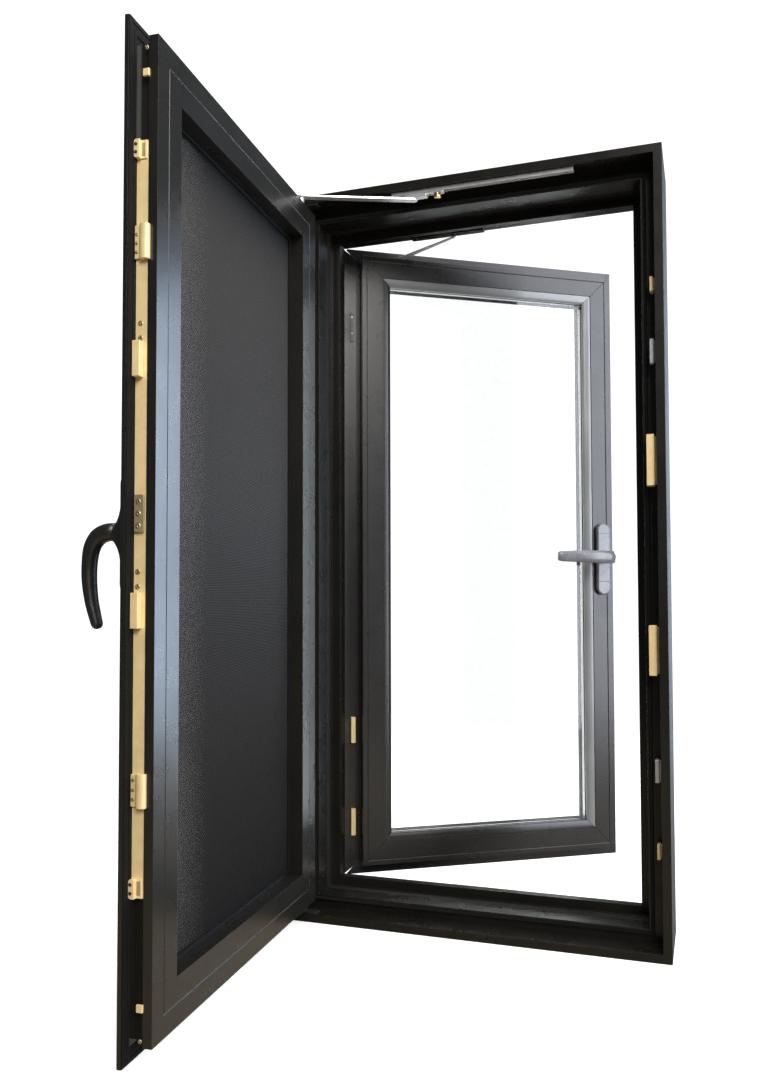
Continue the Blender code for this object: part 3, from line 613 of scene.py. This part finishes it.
def smooth_path(keys, per=8):
    """Points and sizes along a curve through ((place), (sizes)) keys."""
    rows = [tuple(a) + tuple(b) for a, b in keys]
    rows = [rows[0]] + rows + [rows[-1]]
    path, sizes = [], []
    for k in range(1, len(rows) - 2):
        for i in range(per):
            t = i / per
            row = []
            for a, b, c, e in zip(rows[k - 1], rows[k], rows[k + 1], rows[k + 2]):
                square, cube = 2 * a - 5 * b + 4 * c - e, 3 * b - a - 3 * c + e
                row.append(0.5 * (2 * b + (c - a) * t + square * t * t + cube * t ** 3))
            path.append(row[:3])
            sizes.append(row[3:])
    path.append(rows[-1][:3])
    sizes.append(rows[-1][3:])
    return path, sizes


def plate_with_neck(x, z, half_w, half_h, face, thick, swell, neck):
    """(points, faces) of an oval back plate whose face swells out into a round neck."""
    rings = []
    steps = 72

    def ring(scale_w, scale_h, depth, blend):
        out = []
        for i in range(steps):
            c, q = cos(tau * i / steps), sin(tau * i / steps)
            straight = (half_h - half_w) * scale_h * ((q > 0) - (q < 0))
            across = scale_w * half_w * c
            along = scale_w * half_w * q + straight
            out.append((x + across * (1 - blend) + neck * c * blend, face - depth,
                        z + along * (1 - blend) + neck * q * blend))
        return out

    rings.append(ring(1, 1, 0.3, 0))
    rings.append(ring(1, 1, thick - 3.5, 0))
    rings.append(ring(0.95, 1, thick - 1.2, 0))
    rings.append(ring(0.84, 0.99, thick, 0))
    for t in (0.15, 0.3, 0.45, 0.6, 0.72, 0.82, 0.9, 0.96, 1.0):
        rings.append(ring(0.84 * (1 - 0.25 * t), 0.99 - 0.2 * t, thick + swell * t ** 2.6, t))
    points = [p for r in rings for p in r]
    faces = [tuple(range(steps))]
    for k in range(len(rings) - 1):
        for i in range(steps):
            j = (i + 1) % steps
            faces.append((k * steps + i, (k + 1) * steps + i, (k + 1) * steps + j, k * steps + j))
    faces.append(tuple(range((len(rings) - 1) * steps, len(rings) * steps))[::-1])
    return points, faces


black = satin("satin_black", (0.010, 0.010, 0.0095, 1), (0.016, 0.0155, 0.015, 1), rough=0.34, coat=0.3)
HANDLE_Z = 703.0
HANDLE_X = 272.0
plate = plate_with_neck(HANDLE_X + 6, HANDLE_Z - 4, half_w=20.0, half_h=84.0, face=0.0,
                        thick=19.0, swell=15.0, neck=13.0)
build("look_mesh_handle_base", [plate], MESH_PLACE, black, "mesh_sash", "black_handle", width=0.0,
      nodes=("mesh_handle_base",))
keys = []
for depth, drop, wide, thick in (
        (-34.4, 0, 25, 25), (-43, 0, 24.5, 24.5), (-54, 1, 24, 24), (-66, 7, 23.5, 23),
        (-75, 21, 23, 21), (-78.5, 42, 22.5, 19), (-78.5, 66, 22, 18), (-75, 92, 21, 16),
        (-69, 115, 19, 14.5), (-65.8, 125, 17, 13), (-64.2, 129, 10, 7)):
    keys.append(((HANDLE_X, depth, HANDLE_Z - drop), (wide, thick)))
lever = swept(*smooth_path(keys), (1, 0, 0))
build("look_mesh_handle_lever", [lever], MESH_PLACE, black, "mesh_handle", "black_handle", width=0.0,
      nodes=("mesh_handle_lever",))


# The friction stay of the mesh sash: a stainless slider in the head track with a brass
# brake knob, and a flat arm of stacked strips to the sash.
def turned(profile, centre, axis, steps=36):
    """(points, faces) of a solid turned about an axis; profile is (radius, height) from one end."""
    points = []
    for radius, height in profile:
        for i in range(steps):
            t = tau * i / steps
            point = [radius * cos(t), radius * sin(t)]
            point.insert(axis, height)
            points.append(tuple(point[k] + centre[k] for k in range(3)))
    faces = [tuple(range(steps))[::-1]]
    for ring in range(len(profile) - 1):
        for i in range(steps):
            j = (i + 1) % steps
            a, b = ring * steps, (ring + 1) * steps
            faces.append((a + i, a + j, b + j, b + i))
    faces.append(tuple(range((len(profile) - 1) * steps, len(profile) * steps)))
    return points, faces


brass = plated("turned_brass", (0.62, 0.42, 0.16, 1), (0.80, 0.60, 0.28, 1), rough=0.24, metallic=1.0,
               brush=(1, 1, 12))
copper = plated("brass_screw", (0.55, 0.28, 0.08, 1), (0.66, 0.38, 0.12, 1), rough=0.32, metallic=0.9)
rounded("stay_slider", steel, "stay_slider", "stainless_hardware", width=0.0012)
rounded("stay_arm", steel, "stay_arm", "stainless_hardware", width=0.0004)
KNOB_X = -56.0
SLIDER_SCREW_X = -71.0
profile = [(5.6, 1366.0), (7.0, 1366.9), (7.3, 1368.2), (7.3, 1371.6), (6.7, 1372.4), (5.4, 1372.8),
           (5.4, 1374.1)]
knob = turned(profile, (KNOB_X, STAY_D, 0), axis=2, steps=48)
build("look_stay_friction_knob", [knob], FRAME_PLACE, brass, "stay_knob", "brass_knob", width=0.0002,
      nodes=("stay_friction_knob",))
screws("slider_screw", [((SLIDER_SCREW_X, STAY_D, 1374.4), (0, 0, -1), 3.0)], FRAME_PLACE, copper,
       "stay_slider", "brass_knob", seed=6)


# The glazed sash: mitred bars in a slightly paler coat, snap-in beads whose pale glossy coat
# at the top and the lock side is a painted reflection, two hinge leaves, two panes of clear glass on a
# rubber seal with a mill-finish spacer between them, and a zinc drive rod in the lock edge.
def clear_glass(name):
    """Float glass, faintly green, with slight waviness and a breath of dust."""
    s = Shader(name)
    wave = s.noise(5.0, 2.0)
    dust = s.noise(90.0, 5.0, seed=3.0)
    s.bump(wave, 0.02, 0.0004)
    tint = s.mix(s.ramp(dust, 0.4, 0.8, 0.0, 1.0), (0.985, 0.995, 0.99, 1), (0.95, 0.965, 0.96, 1))
    haze = s.ramp(dust, 0.55, 0.85, 0.0, 0.02)
    s.finish(Base_Color=tint, Roughness=haze, Transmission_Weight=1.0, IOR=1.5)
    path = s.node("ShaderNodeLightPath").outputs["Is Shadow Ray"]
    through = s.node("ShaderNodeBsdfTransparent", Color=(0.95, 0.97, 0.96, 1)).outputs[0]
    mixed = s.node("ShaderNodeMixShader", i0=path, i1=s.surface.outputs[0], i2=through)
    s.wire(mixed.outputs[0], s.output.inputs["Surface"])
    return s.material


GLASS_OPEN = 34.0
GLASS_HINGE = (-330, 187)
GLASS_PLACE = hinged(GLASS_OPEN, GLASS_HINGE)
glass = clear_glass("clear_glass")
alloy = plated("mill_alloy", (0.62, 0.63, 0.64, 1), (0.74, 0.75, 0.76, 1), rough=0.33, metallic=0.9)
room_coat = powder_coat("room_coat", (0.014, 0.0138, 0.0135, 1), (0.019, 0.0188, 0.0185, 1),
                        rough=0.28, dust=0.004, coat=0.5)
for bar in ("top_rail", "bottom_rail", "hinge_stile", "lock_stile"):
    rounded("glazed_" + bar, room_coat, "glazed_sash", "sash_aluminium")
# Painted reflection: the top and lock-side beads get this pale coat to stand for the bright stripes
# reflected in them; the other beads keep the room coat.
bead_reflection_coat = powder_coat("bead_reflection_coat", (0.18, 0.19, 0.195, 1), (0.24, 0.25, 0.255, 1), rough=0.22,
                        dust=0.03, coat=1.0)
for side, coat in (("top", bead_reflection_coat), ("bottom", room_coat), ("hinge", room_coat),
                   ("lock", bead_reflection_coat)):
    rounded("glazing_bead_" + side, coat, "glazed_sash", "sash_aluminium")
for end in ("top", "bottom"):
    rounded(f"glazed_hinge_{end}_sash_leaf", sash_coat, "glazed_sash", "sash_aluminium", width=0.0005)
rounded("glazing_gasket", rubber, "glazed_sash", "rubber_seal", width=0.0004)
rounded("glass_pane_inner", glass, "glazed_sash", "window_glass", width=0.0006)
rounded("glass_pane_outer", glass, "glazed_sash", "window_glass", width=0.0006)
rounded("glass_spacer", alloy, "glazed_sash", "spacer_bar", width=0.0005)
rounded("glazed_drive_rod", zinc, "glazed_rod", "zinc_hardware", width=0.0003)


# The glazed sash's own stay: a flat arm that narrows from the sash to the head and turns on
# a short post. Zinc plate, painted nearly white and barely metallic: painted light on an arm that lies
# in shade.
def oval(a, b, radius_a, radius_b, steps=10):
    """Outline of a bar with round ends, from centre a to centre b."""
    turn = atan2(b[1] - a[1], b[0] - a[0])
    points = []
    for centre, start, radius in ((b, turn - pi / 2, radius_b), (a, turn + pi / 2, radius_a)):
        for i in range(steps + 1):
            t = start + pi * i / steps
            points.append((centre[0] + radius * cos(t), centre[1] + radius * sin(t)))
    return points


ARM_POST = (-192.7, 158.4)
ARM_REACH = 159.0
ARM_TURN = radians(-63.3)
far_end = (ARM_POST[0] + ARM_REACH * cos(ARM_TURN), ARM_POST[1] + ARM_REACH * sin(ARM_TURN))
arm = prism(oval(ARM_POST, far_end, radius_a=6.5, radius_b=2.6), 1345.0, 1347.8, axis=2)
post = turned([(4.0, 1335.5), (4.0, 1345.2)], ARM_POST + (0,), axis=2, steps=24)
# Painted light: near-white, barely metallic colour stands for the bright metal sheen on an arm that
# lies in shade.
painted_light_zinc = plated("painted_light_zinc", (0.80, 0.81, 0.82, 1), (0.92, 0.93, 0.94, 1), rough=0.4, metallic=0.1)
build("look_glazed_stay_arm", [arm, post], GLASS_PLACE, painted_light_zinc, "glazed_stay", "stainless_hardware",
      width=0.0003, nodes=("glazed_stay_arm",))


# Small parts on the glazed sash's hinge-side lip: a dark plate near the top with two
# screws, and two zinc stops with dark brackets low down.
LIP_FACE = 170.35
LIP_EDGE = -303.3
skin = (LIP_FACE - 0.27, LIP_FACE)
brackets = [block((LIP_EDGE, -296), (LIP_FACE - 2.6, LIP_FACE), (1160, 1222))]
for left, low, high in ((-323, 1160, 1222), (-319, 312, 362), (-319, 122, 172)):
    brackets.append(block((left, LIP_EDGE - 0.2), skin, (low, high)))
build("lip_plates", brackets, GLASS_PLACE, black_oxide, "glazed_sash", "zinc_hardware", width=0.0001)
stops = [block((LIP_EDGE, -294), (LIP_FACE - 8, LIP_FACE), span) for span in ((312, 366), (121, 176))]
build("lip_stops", stops, GLASS_PLACE, zinc, "glazed_sash", "zinc_hardware", width=0.0007)
lip_spots = [((-299.6, LIP_FACE - 2.6, z), (0, -1, 0), 2.4) for z in (1212, 1178)]
screws("lip_screws", lip_spots, GLASS_PLACE, steel, "glazed_sash", "zinc_hardware", seed=7)


# The silver-grey lever handle of the glazed sash: a painted casting on an oval plate, with
# a seam at each screw cap. The lever points to the hinge side while the sash is open.
grey = satin("silver_grey", (0.13, 0.135, 0.155, 1), (0.18, 0.185, 0.21, 1), rough=0.26, coat=0.5)
GREY_X = 262.0
GREY_FACE = 133.2
plate_outline = oval((GREY_X, HANDLE_Z - 67), (GREY_X, HANDLE_Z + 61), radius_a=15, radius_b=15,
                     steps=16)
plate = prism(plate_outline, GREY_FACE - 12.0, GREY_FACE - 0.3, axis=1)
neck_profile = [(12.2, -21.5), (11.0, -18.5), (11.0, -14.5), (12.6, -11.8)]
neck = turned(neck_profile, (GREY_X, GREY_FACE, HANDLE_Z), axis=1)
build("look_glazed_handle_base", [plate, neck], GLASS_PLACE, grey, "glazed_sash", "grey_handle",
      width=0.0034, nodes=("glazed_handle_base",))
seam_depth = (GREY_FACE - 12.12, GREY_FACE - 11.9)
seams = [block((250, 274), seam_depth, (z, z + 0.7)) for z in (650, 755.8)]
build("handle_cap_seams", seams, GLASS_PLACE, black_oxide, "glazed_sash", "grey_handle", width=0.0)
keys = []
for left, depth, lift, wide, thick in (
        (1, -21.8, 0, 23, 22), (2, -32, 0, 25, 23), (2, -43, 0, 27, 23), (-4, -51, -0.5, 28, 20),
        (-18, -54.5, -0.5, 28, 17), (-43, -56.5, 0, 27, 14.5), (-78, -55.5, 0.5, 25.5, 13),
        (-110, -52.5, 0.8, 24, 12), (-123, -50.5, 1, 22, 11), (-128.5, -49.8, 1, 18, 7)):
    keys.append(((GREY_X + left, GREY_FACE + depth, HANDLE_Z + lift), (wide, thick)))
lever = swept(*smooth_path(keys), (0, 0, 1))
build("look_glazed_handle_lever", [lever], GLASS_PLACE, grey, "glazed_handle", "grey_handle", width=0.0,
      nodes=("glazed_handle_lever",))


# The studio floor: a wide matt disc that fades out at its rim. To the object's own
# reflections it is a dim brown floor, so that the dark coats stay dark.
def floor_finish():
    """Matt pale floor with a faint tooth, gone at its rim so that no edge shows."""
    s = Shader("studio_floor")
    s.bump(s.noise(60.0, 4.0), 0.05, 0.0005)
    seen = s.node("ShaderNodeLightPath")
    direct = s.maths("MAXIMUM", seen.outputs["Is Camera Ray"], seen.outputs["Is Transmission Ray"])
    pale = s.mix(s.noise(3.0), (0.86, 0.86, 0.86, 1), (0.88, 0.88, 0.88, 1))
    s.finish(Base_Color=s.mix(direct, (0.28, 0.225, 0.16, 1), pale), Roughness=0.9,
             Emission_Color=(1, 1, 1, 1), Emission_Strength=s.maths("MULTIPLY", direct, 0.5))
    away = s.node("ShaderNodeVectorMath", {"operation": "LENGTH"}, i0=s.here).outputs["Value"]
    gone = s.node("ShaderNodeBsdfTransparent").outputs[0]
    fade = s.ramp(away, 1.6, 3.2, 0.0, 1.0)
    rim = s.node("ShaderNodeMixShader", i0=fade, i1=s.surface.outputs[0], i2=gone)
    s.wire(rim.outputs[0], s.output.inputs["Surface"])
    return s.material


FLOOR_RADIUS = 3.3
FLOOR_DROP = 0.0006
turns = [tau * i / 96 for i in range(96)]
rim = [(FLOOR_RADIUS * cos(t), FLOOR_RADIUS * sin(t), -FLOOR_DROP) for t in turns]
floor_mesh = bpy.data.meshes.new("floor")
floor_mesh.from_pydata(rim, [], [tuple(range(len(rim)))])
floor_mesh.materials.append(floor_finish())
floor = bpy.data.objects.new("floor", floor_mesh)
bpy.context.scene.collection.objects.link(floor)


# The surroundings: plain white wherever the camera looks past the object or through its
# glass, and a dim cool grey for what the object reflects.
world = bpy.data.worlds.new("studio")
bpy.context.scene.world = world
world.use_nodes = True
nodes, links = world.node_tree.nodes, world.node_tree.links
white, dim = nodes["Background"], nodes.new("ShaderNodeBackground")
white.inputs["Color"].default_value = (1, 1, 1, 1)
white.inputs["Strength"].default_value = 1.2
dim.inputs["Color"].default_value = (0.80, 0.87, 1.0, 1)
dim.inputs["Strength"].default_value = 0.10
ray = nodes.new("ShaderNodeLightPath")
seen_through = nodes.new("ShaderNodeMath")
seen_through.operation = "MAXIMUM"
choose = nodes.new("ShaderNodeMixShader")
links.new(ray.outputs["Is Camera Ray"], seen_through.inputs[0])
links.new(ray.outputs["Is Transmission Ray"], seen_through.inputs[1])
links.new(seen_through.outputs[0], choose.inputs[0])
links.new(dim.outputs[0], choose.inputs[1])
links.new(white.outputs[0], choose.inputs[2])
links.new(choose.outputs[0], nodes["World Output"].inputs["Surface"])


# The lamps: one soft light overhead, cool daylight from behind on the right, one on the
# right and one in front. They are large rectangles that aren't seen themselves.
def soft_light(name, place, aim, size, power, colour):
    """A rectangular lamp at a place, aimed at a point, with its sides in metres and power in watts."""
    data = bpy.data.lights.new(name, "AREA")
    data.shape = "RECTANGLE"
    data.size, data.size_y = size
    data.energy = power
    data.color = colour
    lamp = bpy.data.objects.new(name, data)
    lamp.location = place
    lamp.rotation_euler = (Vector(aim) - lamp.location).to_track_quat("-Z", "Y").to_euler()
    lamp.visible_camera = False
    lamp.visible_transmission = False
    bpy.context.scene.collection.objects.link(lamp)


soft_light("overhead", (0.3, 0.2, 4.2), aim=(0.1, 0.0, 0), size=(3.6, 3.6), power=170,
           colour=(1.0, 0.95, 0.88))
soft_light("daylight", (1.6, 2.6, 1.05), aim=(-0.3, -0.4, 0.85), size=(1.8, 2.3), power=105,
           colour=(0.64, 0.79, 1.0))
soft_light("right", (2.9, -0.85, 1.35), aim=(0.1, 0.2, 0.8), size=(1.3, 3.0), power=95,
           colour=(0.86, 0.90, 1.0))
soft_light("front", (1.9, -3.4, 2.9), aim=(0.0, 0.0, 0.7), size=(2.0, 2.0), power=175,
           colour=(1.0, 0.97, 0.92))


# The camera: it stands in the room, right of the middle and a little under half height, and
# looks slightly up and to the left.
SENSOR = 36.0
HEADING = 19.0
TILT = 92.164
ROLL = -0.137
camera_data = bpy.data.cameras.new("camera")
camera_data.lens = 939.5 / 1080 * SENSOR
camera_data.sensor_width = SENSOR
camera_data.shift_y = 0.0221
camera = bpy.data.objects.new("camera", camera_data)
camera.location = (0.41472, -1.74692, 0.61187)
aim = Matrix.Rotation(radians(HEADING), 3, "Z") @ Matrix.Rotation(radians(TILT), 3, "X")
camera.rotation_euler = (aim @ Matrix.Rotation(radians(ROLL), 3, "Z")).to_euler()
bpy.context.scene.collection.objects.link(camera)
bpy.context.scene.camera = camera
bpy.context.scene.view_settings.view_transform = "Standard"
